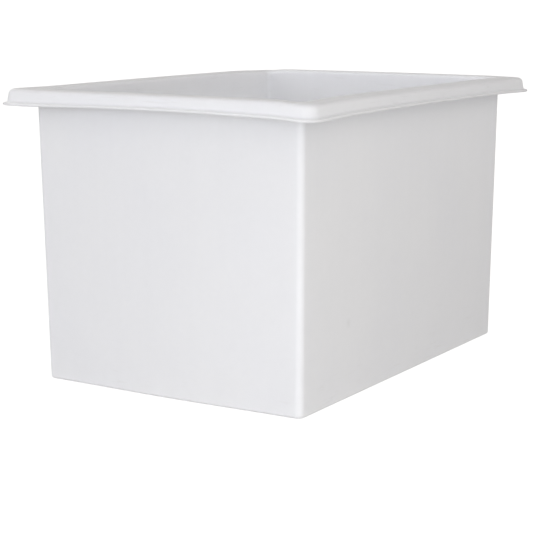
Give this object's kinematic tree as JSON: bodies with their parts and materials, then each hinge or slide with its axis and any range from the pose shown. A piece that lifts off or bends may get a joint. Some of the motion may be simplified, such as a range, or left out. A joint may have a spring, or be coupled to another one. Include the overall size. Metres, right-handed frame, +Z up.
{
  "type": "mortar mixing tub",
  "caption": "Deep open rectangular tub moulded in white polyethylene, with plain leaning walls, a flat floor and a rolled rim that ends in a thin turned-out lip.",
  "frame": {"origin": "centre of the underside, on the surface that the tub stands on", "axes": "+Z up; +X along the long sides; the front side wall faces -Y and the left end wall faces -X"},
  "size_m": [0.8406, 0.6156, 0.503],
  "materials": {
    "polyethylene": "satin natural-white polyethylene, faintly translucent, with the soft unevenness of a moulded skin"
  },
  "bodies": {
    "root": {"floor_panel": "polyethylene", "left_end_wall": "polyethylene", "right_end_wall": "polyethylene", "front_side_wall": "polyethylene", "rear_side_wall": "polyethylene", "rim_left_end": "polyethylene", "rim_right_end": "polyethylene", "rim_front_side": "polyethylene", "rim_rear_side": "polyethylene"}
  },
  "joints": []
}
